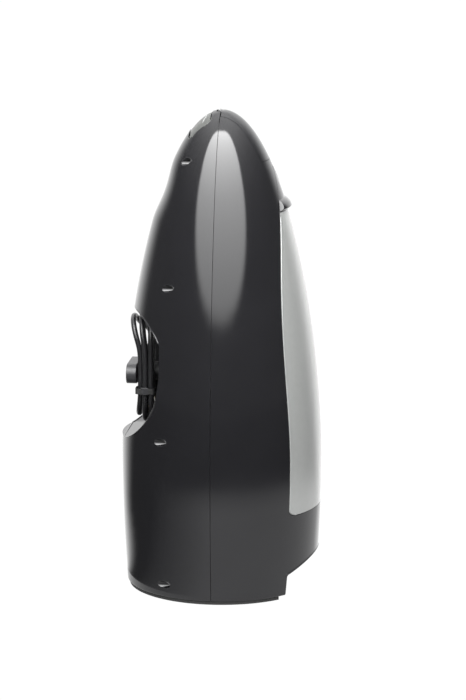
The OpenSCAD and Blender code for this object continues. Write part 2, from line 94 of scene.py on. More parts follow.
def skin_normals(points, dented=False):
    step = 0.02
    grad = np.empty_like(points)
    for k in range(3):
        ahead, behind = points.copy(), points.copy()
        ahead[:, k] += step
        behind[:, k] -= step
        grad[:, k] = skin_field(ahead, dented) - skin_field(behind, dented)
    top = points[:, 2] > BODY_H - 0.3
    grad[top] = (0, 0, 1)
    return grad / np.maximum(np.linalg.norm(grad, axis=1, keepdims=True), 1e-9)


def skin_x(y, z, back=False):
    """X of the skin at Y and Z."""
    x = np.sqrt(np.maximum(skin_r(z) ** 2 - np.asarray(y, float) ** 2, 0))
    return -x if back else x


# ---- meshes ----
def new_object(name, verts, faces):
    mesh = bpy.data.meshes.new(name)
    mesh.from_pydata([tuple(float(c) * MM for c in v) for v in verts], [], faces)
    mesh.validate()
    mesh.update()
    obj = bpy.data.objects.new(name, mesh)
    bpy.context.collection.objects.link(obj)
    return obj


def revolve(name, profile, steps=ROUND):
    """Closed solid of a profile [(r, z)] whose first and last points lie on the axis."""
    verts, faces = [(0, 0, profile[0][1])], []
    for r, z in profile[1:-1]:
        for k in range(steps):
            a = 2 * math.pi * k / steps
            verts.append((r * math.cos(a), r * math.sin(a), z))
    verts.append((0, 0, profile[-1][1]))
    rings = len(profile) - 2
    last = len(verts) - 1
    for k in range(steps):
        n = (k + 1) % steps
        faces.append((0, 1 + n, 1 + k))
        for i in range(rings - 1):
            a, b = 1 + i * steps, 1 + (i + 1) * steps
            faces.append((a + k, a + n, b + n, b + k))
        top = 1 + (rings - 1) * steps
        faces.append((top + k, top + n, last))
    return new_object(name, verts, faces)


def ogive(name, inset=0.0, low=SHELL_Z, edge=1.1):
    """The body's solid, its skin moved in by inset; edge rounds its lower rim."""
    r_low = float(skin_r(low)) - inset
    profile = [(0, low)]
    if edge:
        for a in range(-90, 0, 15):
            t = math.radians(a)
            profile.append((r_low - edge + edge * math.cos(t), low + edge + edge * math.sin(t)))
    else:
        profile.append((r_low, low))
    heights = list(np.linspace(low + max(edge, 1), BELLY_Z, 34))
    heights += [BELLY_Z + (BODY_H - BELLY_Z) * (1 - (1 - s) ** 2) for s in np.linspace(0.012, 0.985, 120)]
    for z in heights:
        slope = float(skin_slope(z))
        n = math.hypot(1, slope)
        profile.append((float(skin_r(z)) - inset / n, z + inset * slope / n))
    profile.append((0, BODY_H - inset))
    return revolve(name, profile)


def prism(name, outline, axis, low, high):
    """Extrudes a closed outline along an axis: (Y, Z) along x, (X, Z) along y, (X, Y) along z."""
    place = {
        "x": lambda u, v, w: (w, u, v),
        "y": lambda u, v, w: (u, w, v),
        "z": lambda u, v, w: (u, v, w),
    }[axis]
    n = len(outline)
    verts = [place(u, v, low) for u, v in outline] + [place(u, v, high) for u, v in outline]
    faces = [tuple(range(n - 1, -1, -1)), tuple(range(n, 2 * n))]
    faces += [(k, (k + 1) % n, n + (k + 1) % n, n + k) for k in range(n)]
    if axis == "y":
        faces = [tuple(reversed(f)) for f in faces]
    return new_object(name, verts, faces)


def box(name, low, high):
    outline = [(low[0], low[1]), (high[0], low[1]), (high[0], high[1]), (low[0], high[1])]
    return prism(name, outline, "z", low[2], high[2])


def circle(u, v, r, n=48):
    return [(u + r * math.cos(2 * math.pi * k / n), v + r * math.sin(2 * math.pi * k / n))
            for k in range(n)]


def combine(a, b, operation):
    """Boolean of a with b; b is used up."""
    mod = a.modifiers.new("cut", "BOOLEAN")
    mod.operation = operation
    mod.solver = "MANIFOLD"
    mod.object = b
    graph = bpy.context.evaluated_depsgraph_get()
    mesh = bpy.data.meshes.new_from_object(a.evaluated_get(graph))
    a.modifiers.remove(mod)
    old = a.data
    a.data = mesh
    bpy.data.meshes.remove(old)
    spent = b.data
    bpy.data.objects.remove(b)
    bpy.data.meshes.remove(spent)
    return a


def cut(a, *others):
    for b in others:
        combine(a, b, "DIFFERENCE")
    return a


def keep(a, *others):
    for b in others:
        combine(a, b, "INTERSECT")
    return a


def fuse(a, *others):
    for b in others:
        combine(a, b, "UNION")
    return a


def coords(mesh):
    points = np.empty(len(mesh.vertices) * 3, np.float32)
    mesh.vertices.foreach_get("co", points)
    return points.reshape(-1, 3).astype(float)


def shade(obj, angle=32):
    """Smooth shading with sharp edges where faces turn by more than an angle."""
    obj.data.shade_smooth()
    obj.data.set_sharp_from_angle(angle=math.radians(angle))
    return obj


def shade_skin(obj, inset=0.0, dented=False):
    """Gives the faces on the ogive its exact normals, so that gloss runs smoothly over them."""
    mesh = obj.data
    if dented:
        points = coords(mesh) / MM
        moved = points - skin_normals(points) * grip_dent(points)[:, None]
        mesh.vertices.foreach_set("co", (moved * MM).astype(np.float32).ravel())
        mesh.update()
    shade(obj)
    points = coords(mesh) / MM
    loops = len(mesh.loops)
    corner = np.empty(loops, np.int32)
    mesh.loops.foreach_get("vertex_index", corner)
    count = len(mesh.polygons)
    centre, normal = np.empty(count * 3, np.float32), np.empty(count * 3, np.float32)
    total = np.empty(count, np.int32)
    mesh.polygons.foreach_get("center", centre)
    mesh.polygons.foreach_get("normal", normal)
    mesh.polygons.foreach_get("loop_total", total)
    centre = centre.reshape(-1, 3).astype(float) / MM
    normal = normal.reshape(-1, 3)
    slope = np.hypot(1, skin_slope(np.minimum(centre[:, 2], BODY_H - 0.3)))
    off = np.abs(skin_field(centre, dented) / slope + inset)
    on_skin = (off < 0.12) & ((normal * skin_normals(centre, dented)).sum(1) > 0.9)
    on_loop = np.repeat(on_skin, total)
    custom = np.zeros((loops, 3))
    custom[on_loop] = skin_normals(points[corner[on_loop]], dented)
    mesh.normals_split_custom_set([tuple(n) for n in custom])
    return obj


def tube(name, path, radius, sides=10, closed=False):
    """A round tube along points in millimetres; radius may be a list, one for each point."""
    points = [Vector(p) for p in path]
    n = len(points)
    radii = radius if hasattr(radius, "__len__") else [radius] * n
    heads = []
    for i in range(n):
        a = points[i - 1] if closed or i else points[0]
        b = points[(i + 1) % n] if closed or i < n - 1 else points[-1]
        heads.append((b - a).normalized())
    side = heads[0].orthogonal().normalized()
    verts, faces = [], []
    for i in range(n):
        side = (side - heads[i] * side.dot(heads[i])).normalized()
        other = heads[i].cross(side)
        for k in range(sides):
            a = 2 * math.pi * k / sides
            verts.append(points[i] + (side * math.cos(a) + other * math.sin(a)) * radii[i])
    for i in range(n if closed else n - 1):
        j = (i + 1) % n
        for k in range(sides):
            m = (k + 1) % sides
            faces.append((i * sides + k, i * sides + m, j * sides + m, j * sides + k))
    if not closed:
        faces.append(tuple(range(sides - 1, -1, -1)))
        faces.append(tuple((n - 1) * sides + k for k in range(sides)))
    return shade(new_object(name, verts, faces), 60)


# ---- outlines, in millimetres ----
def rounded(u, v, w, h, r, steps=16):
    points = []
    for cu, cv, a0 in ((1, 1, 0), (-1, 1, 90), (-1, -1, 180), (1, -1, 270)):
        for k in range(steps + 1):
            a = math.radians(a0 + 90 * k / steps)
            points.append((u + cu * (w / 2 - r) + r * math.cos(a), v + cv * (h / 2 - r) + r * math.sin(a)))
    return points


def arch_half(z):
    return ARCH_W * (1 - (max(z - ARCH_BEND, 0) / (ARCH_TIP - ARCH_BEND)) ** 3.3)


def arch_outline(inset=0.0):
    c, low, w = ARCH_CORNER, ARCH_LOW + inset, ARCH_W - inset
    right = []
    for a in range(-90, 1, 9):
        t = math.radians(a)
        right.append((w - c + c * math.cos(t), low + c + c * math.sin(t)))
    for z in np.linspace(86, ARCH_TIP - 2.5, 90):
        right.append((arch_half(z) - inset, float(z)))
    left = [(-u, v) for u, v in reversed(right)]
    return right + [(0, ARCH_TIP - 2 * inset)] + left


def lid_outline(grow=0.0):
    g = grow
    side = [(0.6 - g, 13.2 + g), (14, 14.4 + g), (33, 18.6 + g), (60, 20 + g)]
    xs = np.linspace(0.6 - g, 60, 50)
    curve = [(float(x), float(np.interp(x, [p[0] for p in side], [p[1] for p in side]))) for x in xs]
    return [(x, -y) for x, y in curve] + [(x, y) for x, y in reversed(curve)]


def rocker_outline(grow=0.0):
    return rounded(-17.2, 0, 17.6 + 2 * grow, 34 + 2 * grow, 4 + grow)


def bay_outline(grow=0.0):
    return rounded(0, BAY_Z, BAY_W + 2 * grow, BAY_H + 2 * grow, BAY_R + grow, 40)


def foot_arch_outline(grow=0.0):
    w = FOOT_ARCH_W
    arc = (w * w + FOOT_ARCH_RISE ** 2) / (2 * FOOT_ARCH_RISE)
    centre = FOOT_ARCH_H - arc
    side, soft = w + grow, 3.0
    top = [(y, centre + math.sqrt((arc + grow) ** 2 - y * y))
           for y in np.linspace(side - soft, soft - side, 80)]
    edge = centre + math.sqrt((arc + grow) ** 2 - (side - soft) ** 2)
    right = [(side - soft + soft * math.cos(t), edge - soft + soft * math.sin(t))
             for t in np.linspace(0, math.pi / 2, 7)[:-1]]
    left = [(-u, v) for u, v in reversed(right)]
    return [(side, -20)] + right + top + left + [(-side, -20)]


# ---- materials ----
def material(slot, colour, rough, metal=0.0, bump=0.0, scale=900.0, vary=0.04, coat=0.0, clear=0.0,
             stretch=(1, 1, 1), tint=0.0, detail=3.0):
    """A Principled material with noise in its roughness, its colour and its surface."""
    mat = bpy.data.materials.new(slot)
    mat.use_nodes = True
    nodes, links = mat.node_tree.nodes, mat.node_tree.links
    shader = nodes["Principled BSDF"]
    shader.inputs["Base Color"].default_value = (*colour, 1)
    shader.inputs["Metallic"].default_value = metal
    shader.inputs["Coat Weight"].default_value = coat
    shader.inputs["Coat Roughness"].default_value = 0.04
    shader.inputs["IOR"].default_value = 1.49
    shader.inputs["Transmission Weight"].default_value = clear
    place = nodes.new("ShaderNodeTexCoord")
    mapping = nodes.new("ShaderNodeMapping")
    mapping.inputs["Scale"].default_value = stretch
    links.new(place.outputs["Object"], mapping.inputs["Vector"])
    broad = nodes.new("ShaderNodeTexNoise")
    broad.inputs["Scale"].default_value = scale / 12
    broad.inputs["Detail"].default_value = detail
    links.new(mapping.outputs["Vector"], broad.inputs["Vector"])
    spread = nodes.new("ShaderNodeMapRange")
    spread.inputs["To Min"].default_value = max(rough - vary, 0.01)
    spread.inputs["To Max"].default_value = rough + vary
    links.new(broad.outputs["Fac"], spread.inputs["Value"])
    links.new(spread.outputs["Result"], shader.inputs["Roughness"])
    if tint:
        mix = nodes.new("ShaderNodeMixRGB")
        mix.inputs["Color1"].default_value = (*[c * (1 - tint) for c in colour], 1)
        mix.inputs["Color2"].default_value = (*[min(c * (1 + tint), 1) for c in colour], 1)
        links.new(broad.outputs["Fac"], mix.inputs["Fac"])
        links.new(mix.outputs["Color"], shader.inputs["Base Color"])
    if bump:
        fine = nodes.new("ShaderNodeTexNoise")
        fine.inputs["Scale"].default_value = scale
        fine.inputs["Detail"].default_value = detail
        links.new(mapping.outputs["Vector"], fine.inputs["Vector"])
        lift = nodes.new("ShaderNodeBump")
        lift.inputs["Strength"].default_value = bump
        lift.inputs["Distance"].default_value = 0.0002
        links.new(fine.outputs["Fac"], lift.inputs["Height"])
        links.new(lift.outputs["Normal"], shader.inputs["Normal"])
    return mat


FINISHES = {
    "gloss_black": dict(colour=(0.0075, 0.0075, 0.0085), rough=0.085, bump=0.012, scale=260, vary=0.025,
                        tint=0.2),
    "satin_silver": dict(colour=(0.235, 0.24, 0.235), rough=0.30, metal=0.2, coat=0.7, bump=0.10,
                         scale=2600, vary=0.05, tint=0.05),
    "smoke_grey": dict(colour=(0.050, 0.052, 0.049), rough=0.34, bump=0.05, tint=0.15),
    "dark_plastic": dict(colour=(0.018, 0.018, 0.02), rough=0.42, bump=0.25, scale=1500, vary=0.08,
                         tint=0.2),
    "black_rubber": dict(colour=(0.012, 0.012, 0.012), rough=0.7, bump=0.3, scale=1800, vary=0.1,
                         tint=0.25),
    "cord_pvc": dict(colour=(0.012, 0.012, 0.013), rough=0.30, bump=0.10, scale=700, vary=0.08,
                     tint=0.25),
    "zinc_steel": dict(colour=(0.60, 0.61, 0.62), rough=0.30, metal=1, bump=0.08, scale=800, vary=0.08,
                       tint=0.08),
    "stainless": dict(colour=(0.66, 0.66, 0.67), rough=0.24, metal=1, bump=0.12, stretch=(1, 1, 14),
                      tint=0.06),
    "lamination_steel": dict(colour=(0.26, 0.26, 0.28), rough=0.45, metal=1, bump=0.6, scale=500,
                             stretch=(0.05, 0.05, 4), tint=0.2),
    "copper_wire": dict(colour=(0.62, 0.27, 0.11), rough=0.32, metal=1, bump=0.7, scale=600,
                        stretch=(0.3, 0.3, 4), tint=0.3),
    "brass": dict(colour=(0.72, 0.55, 0.26), rough=0.22, metal=1, bump=0.06, tint=0.1),
    "carbon": dict(colour=(0.02, 0.02, 0.02), rough=0.6, bump=0.3, scale=2000, tint=0.3),
    "clear_plastic": dict(colour=(0.93, 0.95, 0.96), rough=0.06, bump=0.02, scale=300, vary=0.03,
                          clear=0.94),
    "circuit_board": dict(colour=(0.02, 0.13, 0.05), rough=0.35, bump=0.2, tint=0.3),
    "yellow_film": dict(colour=(0.66, 0.47, 0.06), rough=0.3, bump=0.1, tint=0.1),
    "natural_nylon": dict(colour=(0.72, 0.68, 0.56), rough=0.45, bump=0.15, scale=1200, tint=0.08),
    "red_wire": dict(colour=(0.30, 0.02, 0.015), rough=0.35, bump=0.1, tint=0.15),
}
MATERIALS = {slot: material(slot, **finish) for slot, finish in FINISHES.items()}
SLOT_OF = {part["node"]: part["material_slot"] for part in frame["record"]["subparts"]}
BODY_OF = {n: body for body, names in frame["record"]["behaviour"]["bodies"].items() for n in names}


def dress(obj, slot_name):
    obj.data.materials.clear()
    obj.data.materials.append(MATERIALS[slot_name])
    return obj


def stand_for(obj, node, slot_name=None):
    """obj replaces a CAD node: it rides on its body and takes its material."""
    dress(obj, slot_name or SLOT_OF[node])
    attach(obj, BODY_OF[node])
    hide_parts(node)
    return obj


def add_to(obj, body, slot_name):
    """obj is a small extra piece on a body."""
    dress(obj, slot_name)
    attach(obj, body)
    return obj


for node_name, node in frame["nodes"].items():
    dress(node, SLOT_OF[node_name])


# ---- camera ----
CAMERA_TURN = 6.6


def make_camera():
    """From the side on the left of who faces the front, a little towards the front, from above."""
    turn, rise, distance = math.radians(CAMERA_TURN), math.radians(12), 3.0
    right = Vector((math.cos(turn), math.sin(turn), 0))
    away = Vector((math.sin(turn) * math.cos(rise), -math.cos(turn) * math.cos(rise), math.sin(rise)))
    target = Vector((0, 0, 0.2049)) + right * 0.0095
    camera = bpy.data.objects.new("camera", bpy.data.cameras.new("camera"))
    camera.data.lens = 179
    camera.data.sensor_width = 36
    camera.location = target + away * distance
    camera.rotation_euler = away.to_track_quat("Z", "Y").to_euler()
    bpy.context.collection.objects.link(camera)
    bpy.context.scene.camera = camera


make_camera()


# ---- mains lead: out of the gland, round the hook four and a half times, and up to the plug ----
LEAD_ROUTE = [(-50.8, 25, 203), (-50.8, 30, 202.5), (-50.8, 35, 200.4), (-50.8, 39.3, 196.6),
              (-50.8, 42.4, 191), (-50.9, 43.8, 184), (-51.1, 43.4, 176), (-51.5, 41.3, 168),
              (-52.2, 37.4, 160.5), (-53.4, 32, 154), (-55.2, 25.6, 149), (-57.4, 19.5, 146.2),
              (-59, 14, 145.2)]
PLUG_ROUTE = [(-61, 43, 190), (-61, 42.9, 196), (-61.3, 41.8, 203), (-62, 39.2, 210),
              (-63, 35.2, 217), (-64.2, 30, 223.4), (-65.8, 24, 229), (-67.4, 17.4, 233.6),
              (-69, 10, 236.4)]
LOOP_OUTER, LOOP_INNER, LOOP_X, STRAND = 23.7, 18.9, -58.8, 4.8
# Each turn's column, counted outwards from the housing, and its layer: 0 outer, 1 inner
TURNS = [(0, 0), (0, 1), (1, 1), (2, 1), (1, 0)]
SHIFT_START, SHIFT_STEP = 16.0, 20.0
# The outer columns lean away from the housing above and below these heights
LEAN_ABOVE, LEAN_BELOW = 199, 172
LEAN_ABOVE_SHARE, LEAN_BELOW_SHARE = 0.30, 0.20


def lean(distance, soft=16.0):
    """How a run leaves the vertical, eased in over the first stretch."""
    if distance < 0:
        return 0.0
    return distance ** 2 / (2 * soft) if distance < soft else distance - soft / 2


def ease(u):
    u = min(max(u, 0), 1)
    return 2 * u * u if u < 0.5 else 1 - 2 * (1 - u) ** 2


def hank_point(t, column, layer):
    """A point of the hank, t millimetres along a mean loop from its lowest point."""
    mean = (LOOP_OUTER + LOOP_INNER) / 2
    quarter, straight = math.pi * mean / 2, HANK_HIGH - HANK_LOW
    r = LOOP_OUTER + (LOOP_INNER - LOOP_OUTER) * layer
    if t < quarter:
        a, z0 = -math.pi / 2 - t / mean, HANK_LOW
    elif t < quarter + straight:
        a, z0 = -math.pi, HANK_LOW + t - quarter
    elif t < 3 * quarter + straight:
        a, z0 = math.pi - (t - quarter - straight) / mean, HANK_HIGH
    elif t < 3 * quarter + 2 * straight:
        a, z0 = 0.0, HANK_HIGH - (t - 3 * quarter - straight)
    else:
        a, z0 = -(t - 3 * quarter - 2 * straight) / mean, HANK_LOW
    y, z = r * math.cos(a), z0 + r * math.sin(a)
    out = LEAN_ABOVE_SHARE * lean(z - LEAN_ABOVE) + LEAN_BELOW_SHARE * lean(LEAN_BELOW - z)
    return (LOOP_X - column * STRAND - out * column / 2, y, z)


def hank_route():
    mean = (LOOP_OUTER + LOOP_INNER) / 2
    half = math.pi * mean + HANK_HIGH - HANK_LOW
    turn = 2 * half
    route = []
    last = len(TURNS) - 1
    for t in np.arange(0, last * turn + half, turn / 64):
        k, u = int(t // turn), t % turn
        column, layer = TURNS[k]
        if k < last:
            start = SHIFT_START + SHIFT_STEP * (last - 1 - k)
            e = ease((u - half - start) / SHIFT_STEP)
            if k == last - 1:
                column = 1 + math.cos(e * math.pi / 2)
                layer = 1 - math.sin(e * math.pi / 2)
            else:
                column += (TURNS[k + 1][0] - column) * e
                layer += (TURNS[k + 1][1] - layer) * e
        route.append(hank_point(u, column, layer))
    return route


def lathe_path(name, start, direction, stations, sides=28):
    """A turned piece: stations are (distance, radius) along a direction from start."""
    path = [tuple(start[k] + direction[k] * d for k in range(3)) for d, _ in stations]
    return tube(name, path, [r for _, r in stations], sides)


def ribbed(length, r_start, r_end, ribs, solid=0.35):
    """Stations of a tapered boot with grooves; solid is the plain share of its length."""
    stations = [(0, r_start), (length * solid, r_start + (r_end - r_start) * solid)]
    pitch = length * (1 - solid) / ribs
    for k in range(ribs):
        d0 = length * solid + k * pitch
        for share, dip in ((0.08, 0), (0.2, 0.5), (0.45, 0.5), (0.57, 0), (0.99, 0)):
            d = d0 + pitch * share
            r = r_start + (r_end - r_start) * d / length
            stations.append((d, max(r - dip, CORD_D / 2 + 0.15)))
    return stations + [(length, r_end - 0.1)]


def round_edges(obj, width, segments=4):
    soften = obj.modifiers.new("round", "BEVEL")
    soften.width = width * MM
    soften.segments = segments
    soften.limit_method = "ANGLE"
    soften.angle_limit = math.radians(40)
    return shade(obj, 40)


def make_strain_relief():
    """Clamped block of the gland, and the ribbed boot that points along the bay."""
    block = box("strain_relief_look", (-55.4, -4.9, 197.6), (BAY_BACK - 0.1, 4.9, 208.4))
    stand_for(round_edges(block, 1.2), "strain_relief", "black_rubber")
    boot = lathe_path("strain_relief_boot", (-50.8, 4.6, GLAND_Z), (0, 1, 0),
                      ribbed(20.2, 3.85, CORD_D / 2 + 0.35, 5))
    add_to(shade(boot, 30), "housing", "black_rubber")
    return [block, boot]


def make_plug():
    """Two-pin plug: a rounded body with finger ribs and a ribbed boot; it hangs from its lead."""
    x, y, low, high = -61, 43, 155, 175
    body = prism("plug_body_look", rounded(x, y, 9.8, 15.8, 3.9), "z", low, high)
    for k in range(4):
        z = low + 6 + 2.6 * k
        for s in (-1, 1):
            cut(body, prism("groove", circle(x + s * 5.3, z, 0.8, 16), "y", y - 5, y + 5))
    stand_for(round_edges(body, 1.0), "plug_body", "black_rubber")
    boot = lathe_path("plug_boot", (x, y, high - 0.4), (0, 0, 1), ribbed(15.3, 3.95, CORD_D / 2 + 0.35, 4))
    add_to(shade(boot, 30), "housing", "black_rubber")
    return [body, boot]


def make_cord_tie():
    """Strap round the wound runs, with its buckle on the outside."""
    x, y, low, high = -63.8, -21.3, 170, 175

    def loop(half_x, half_y, squareness=0.35):
        points = []
        for a in range(0, 360, 6):
            c, w = math.cos(math.radians(a)), math.sin(math.radians(a))
            points.append((x + half_x * math.copysign(abs(c) ** squareness, c),
                           y + half_y * math.copysign(abs(w) ** squareness, w)))
        return points

    inner_x, inner_y = 7.95, 5.45
    strap = prism("cord_tie_look", loop(inner_x * 1.05, inner_y * 1.07), "z", low, high)
    cut(strap, prism("inside", loop(inner_x, inner_y), "z", low - 1, high + 1))
    stand_for(shade(strap, 40), "cord_tie", "black_rubber")
    buckle = box("tie_buckle", (-66.5, -27.15, 169.3), (-60.5, -26.3, 175.7))
    add_to(round_edges(buckle, 0.3, 3), "housing", "dark_plastic")
    return [strap, buckle]


def make_cord():
    route = LEAD_ROUTE + hank_route() + PLUG_ROUTE[::-1]
    curve = bpy.data.curves.new("mains_cord", "CURVE")
    curve.dimensions = "3D"
    curve.bevel_depth = CORD_D / 2 * MM
    curve.bevel_resolution = 4
    curve.use_fill_caps = True
    spline = curve.splines.new("POLY")
    spline.points.add(len(route) - 1)
    for point, (x, y, z) in zip(spline.points, route):
        point.co = (x * MM, y * MM, z * MM, 1)
    cord = bpy.data.objects.new("mains_cord", curve)
    bpy.context.collection.objects.link(cord)
    dress(cord, "cord_pvc")
    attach(cord, "housing")
    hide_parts("cord_lead", "cord_hank", "plug_lead")
    make_strain_relief() + make_plug() + make_cord_tie() + ["plug_pins"]


make_cord()


# ---- stage: a white floor and world, and cards of light that only the gloss and the shading see ----
def glow_material(name, strength, attribute=False):
    mat = bpy.data.materials.new(name)
    mat.use_nodes = True
    nodes, links = mat.node_tree.nodes, mat.node_tree.links
    nodes.clear()
    out = nodes.new("ShaderNodeOutputMaterial")
    glow = nodes.new("ShaderNodeEmission")
    glow.inputs["Strength"].default_value = strength
    if attribute:
        source = nodes.new("ShaderNodeAttribute")
        source.attribute_name = "glow"
        links.new(source.outputs["Color"], glow.inputs["Color"])
    links.new(glow.outputs["Emission"], out.inputs["Surface"])
    return mat


def stage_grid(name, place, nu, nv, glow=None, strength=1.0, seen=True):
    """A staged sheet: place(u, v) gives its points in metres and glow(u, v) its light."""
    verts = [place(i / nu, j / nv) for j in range(nv + 1) for i in range(nu + 1)]
    row = nu + 1
    faces = [(j * row + i, j * row + i + 1, (j + 1) * row + i + 1, (j + 1) * row + i)
             for j in range(nv) for i in range(nu)]
    mesh = bpy.data.meshes.new(name)
    mesh.from_pydata(verts, [], faces)
    if glow:
        values = [glow(i / nu, j / nv) for j in range(nv + 1) for i in range(nu + 1)]
        layer = mesh.color_attributes.new("glow", "FLOAT_COLOR", "POINT")
        layer.data.foreach_set("color", [c for v in values for c in (v, v, v, 1)])
    mesh.materials.append(glow_material(name, strength, bool(glow)))
    obj = bpy.data.objects.new(name, mesh)
    bpy.context.collection.objects.link(obj)
    obj.visible_camera = seen
    return obj


def smooth(u):
    u = min(max(u, 0), 1)
    return u * u * (3 - 2 * u)


WHITE = 1.02
STUDIO_TURN = math.radians(CAMERA_TURN - 90)


def around(u, v, reach, span, heights):
    """A point of a dome about the object, its span counted in degrees from the camera's side."""
    a = STUDIO_TURN + math.radians(span[0] + (span[1] - span[0]) * u)
    e = math.radians(heights[0] + (heights[1] - heights[0]) * v)
    flat = reach * math.cos(e)
    return (flat * math.cos(a), flat * math.sin(a), 0.2 + reach * math.sin(e))


def key_glow(a, e):
    """A round softbox, brighter towards its top."""
    power = 3.4 if e > 39 else 2.2
    edge = (abs(a + 2) / 51) ** power + (abs(e - 39) / 33) ** power
    return (1.8 + 0.17 * e + 0.11 * max(e - 31, 0)) * smooth((1 - edge) * 5) + sky_glow(a, e)


def sky_glow(a, e):
    """The room: dim low down, bright overhead, and a bright wall behind the object."""
    wall = 1.4 * smooth((abs(a) - 114) / 30) * smooth((60 - e) / 20)
    return 0.16 + 2.8 * smooth((e - 12) / 66) ** 1.4 + wall


def table_glow(a, r):
    """The table as the gloss sees it: white close by, dark further off and to the left."""
    near = 1 - smooth((r - 0.36) / 0.16)
    side = 0.04 + 0.96 * min(max((a + 85) / 72, 0), 1) ** 1.3
    behind = 1.4 * smooth((abs(a) - 112 + 24 * (1 - smooth((r - 0.1) / 0.25))) / 32)
    return max(1.05 * near * side, behind, 0.08)


def between(limits, share):
    return limits[0] + (limits[1] - limits[0]) * share


def make_stage():
    wide = 12.0
    floor = stage_grid("floor", lambda u, v: (wide * (2 * u - 1), wide * (2 * v - 1), 0), 1, 1,
                       strength=WHITE)
    floor.visible_glossy = False
    floor.visible_diffuse = False
    span, rise, key_span, key_rise = (-180, 180), (-8, 89), (-56, 52), (3, 74)

    def reach(v):
        return 0.1 + 1.8 * v * v

    def table(u, v):
        a = STUDIO_TURN + math.radians(between(span, u))
        return (reach(v) * math.cos(a), reach(v) * math.sin(a), -0.001)

    stage_grid("table_card", table, 72, 24, lambda u, v: table_glow(between(span, u), reach(v)), seen=False)
    stage_grid("room_dome", lambda u, v: around(u, v, 2.1, span, rise), 72, 26,
               lambda u, v: sky_glow(between(span, u), between(rise, v)), seen=False)
    stage_grid("key_softbox", lambda u, v: around(u, v, 1.9, key_span, key_rise), 54, 40,
               lambda u, v: key_glow(between(key_span, u), between(key_rise, v)), seen=False)
    world = bpy.data.worlds.new("studio")
    world.use_nodes = True
    backing = world.node_tree.nodes["Background"]
    backing.inputs["Color"].default_value = (1, 1, 1, 1)
    backing.inputs["Strength"].default_value = WHITE
    bpy.context.scene.world = world


make_stage()
bpy.context.scene.view_settings.view_transform = "Standard"


# ---- housing ----
def at_screws(name, r, low, high):
    """Rods along x at the eight screws."""
    return [prism(name, circle(s * y, z, r), "x", low, high) for y, z in SCREWS for s in (-1, 1)]


def skin_wall(name, inset=0.0, inner=WALL):
    """The body's wall, between two depths under its skin."""
    return cut(ogive(name, inset), ogive("hollow", inner, low=BELOW, edge=0))


def shell(name, low_x, high_x, extra):
    """Half of the housing's wall with extra solids, which stay inside the ogive."""
    solid = ogive(name)
    hollow = ogive("hollow", WALL, low=BELOW, edge=0)
    cut(hollow, *extra)
    cut(solid, hollow)
    return keep(solid, box("half", (low_x, -FAR, 0), (high_x, FAR, TOP)))


def bead(name, points, radius, body, slot_name="gloss_black", closed=False):
    return add_to(tube(name, points, radius, 10, closed), body, slot_name)


def on_skin(points, sink=0.0, back=False):
    """Lays (y, z) points on the skin, sunk along its normal."""
    placed = []
    for y, z in points:
        if abs(y) >= float(skin_r(z)):
            continue
        p = np.array([[float(skin_x(y, z, back)), y, z]])
        placed.append(tuple((p - skin_normals(p) * sink)[0]))
    return placed


def hinge_slot(x0, x1):
    return box("hinge_slot", (x0, -6, 405), (x1, 6, TOP))


def lid_gap(low, grow=GAP):
    return prism("lid_gap", lid_outline(grow), "z", low, TOP)


def make_rear_housing():
    tub = prism("tub", bay_outline(2.4), "x", -FAR, BAY_BACK + 2.4)
    rear = shell("rear_housing_look", -FAR, -SEAM / 2, [tub] + at_screws("boss", BOSS_R, -FAR, 0))
    cut(rear, prism("bay", bay_outline(), "x", -FAR, BAY_BACK))
    cut(rear, *at_screws("well", WELL_R, -FAR, -10))
    cut(rear, lid_gap(350), hinge_slot(HINGE[0] - 2.2, 5))
    cut(rear, prism("rocker_gap", rocker_outline(ROCKER_GAP), "z", 380, TOP))
    for name, half_y, low, high in (("gland_slot", 4.5, GLAND_Z - 4.5, GLAND_Z + 4.5),
                                    ("hook_slot", 6, BAY_Z - 9, BAY_Z + 3)):
        cut(rear, box(name, (BAY_BACK - 1, -half_y, low), (BAY_BACK + 8, half_y, high)))
    shade_skin(rear, dented=True)
    stand_for(rear, "rear_housing")


def make_bay_rims():
    """Soft edges where the bay breaks through the skin, above and below."""
    rim = [(y, z) for y, z in bay_outline(0.1) if float(skin_r(z)) > abs(y) + 0.5]
    open_rim = [p for p in rim if float(skin_x(p[0], p[1], True)) < BAY_BACK - 0.6]
    top = [p for p in open_rim if p[1] > BAY_Z]
    low = [p for p in open_rim if p[1] < BAY_Z]
    for part, points in (("top", top), ("low", low)):
        bead("bay_rim_" + part, on_skin(points, 0.35, True), 0.75, "housing")


def make_hinge_knuckle():
    knuckle = prism("hinge_knuckle", circle(*HINGE, KNUCKLE_R), "y", -2.2, 2.2)
    fuse(knuckle, box("arm", (HINGE[0] - 3.4, -2.2, 409.6), (HINGE[0] - 0.6, 2.2, HINGE[1])))
    add_to(shade(knuckle), "housing", "gloss_black")


def make_well_rims():
    for y, z in SCREWS:
        for s, side in ((-1, "l"), (1, "r")):
            ring = circle(s * y, z, WELL_R + 0.1, 28)
            bead("well_rim_%d_%s" % (z, side), on_skin(ring, 0.15, True), 0.32, "housing", closed=True)


def make_seam_lip():
    """The tongue behind the side seams, which stops light from passing between the two shells."""
    lip = ogive("seam_lip", WALL - 0.3, low=SHELL_Z + 0.4, edge=0)
    cut(lip, ogive("hollow", WALL + 1.0, low=BELOW, edge=0))
    keep(lip, box("strip", (-3, -FAR, 0), (3, FAR, TOP)))
    cut(lip, lid_gap(350, 3), box("hinge_slot", (-8, -8, 400), (8, 8, TOP)))
    add_to(shade(lip), "housing", "dark_plastic")


